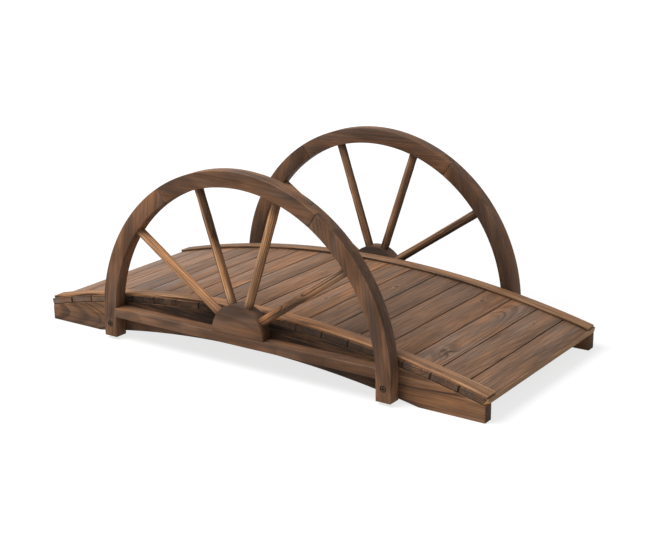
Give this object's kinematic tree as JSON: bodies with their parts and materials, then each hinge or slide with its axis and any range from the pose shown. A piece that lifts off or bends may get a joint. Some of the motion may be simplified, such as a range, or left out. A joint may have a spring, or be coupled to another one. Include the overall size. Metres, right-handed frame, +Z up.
{
  "type": "arched garden footbridge",
  "caption": "Arched garden footbridge of torched fir planks on two arched stringers, with a half wagon wheel as the railing on each side.",
  "frame": {"origin": "on the ground at mid-span, between the two railings", "axes": "+X along the walk, -Y the front side, +Z up"},
  "size_m": [1.3076, 0.644, 0.487],
  "materials": {
    "stringer_fir": "matte",
    "deck_fir": "matte",
    "curb_fir": "matte",
    "rail_fir": "matte",
    "spoke_fir": "matte"
  },
  "bodies": {
    "root": {"deck_plank_01": "deck_fir", "deck_plank_02": "deck_fir", "deck_plank_03": "deck_fir", "deck_plank_04": "deck_fir", "deck_plank_05": "deck_fir", "deck_plank_06": "deck_fir", "deck_plank_07": "deck_fir", "deck_plank_08": "deck_fir", "deck_plank_09": "deck_fir", "deck_plank_10": "deck_fir", "deck_plank_11": "deck_fir", "deck_plank_12": "deck_fir", "deck_plank_13": "deck_fir", "deck_plank_14": "deck_fir", "deck_plank_15": "deck_fir", "deck_plank_16": "deck_fir", "deck_plank_17": "deck_fir", "deck_plank_18": "deck_fir", "front_curb": "curb_fir", "front_rail_crown": "rail_fir", "front_rail_hub": "rail_fir", "front_rail_left_leg": "rail_fir", "front_rail_lower_bar": "rail_fir", "front_rail_right_leg": "rail_fir", "front_rail_spoke_1": "spoke_fir", "front_rail_spoke_2": "spoke_fir", "front_rail_spoke_3": "spoke_fir", "front_rail_spoke_4": "spoke_fir", "front_stringer": "stringer_fir", "rear_curb": "curb_fir", "rear_rail_crown": "rail_fir", "rear_rail_hub": "rail_fir", "rear_rail_left_leg": "rail_fir", "rear_rail_lower_bar": "rail_fir", "rear_rail_right_leg": "rail_fir", "rear_rail_spoke_1": "spoke_fir", "rear_rail_spoke_2": "spoke_fir", "rear_rail_spoke_3": "spoke_fir", "rear_rail_spoke_4": "spoke_fir", "rear_stringer": "stringer_fir"}
  },
  "joints": []
}
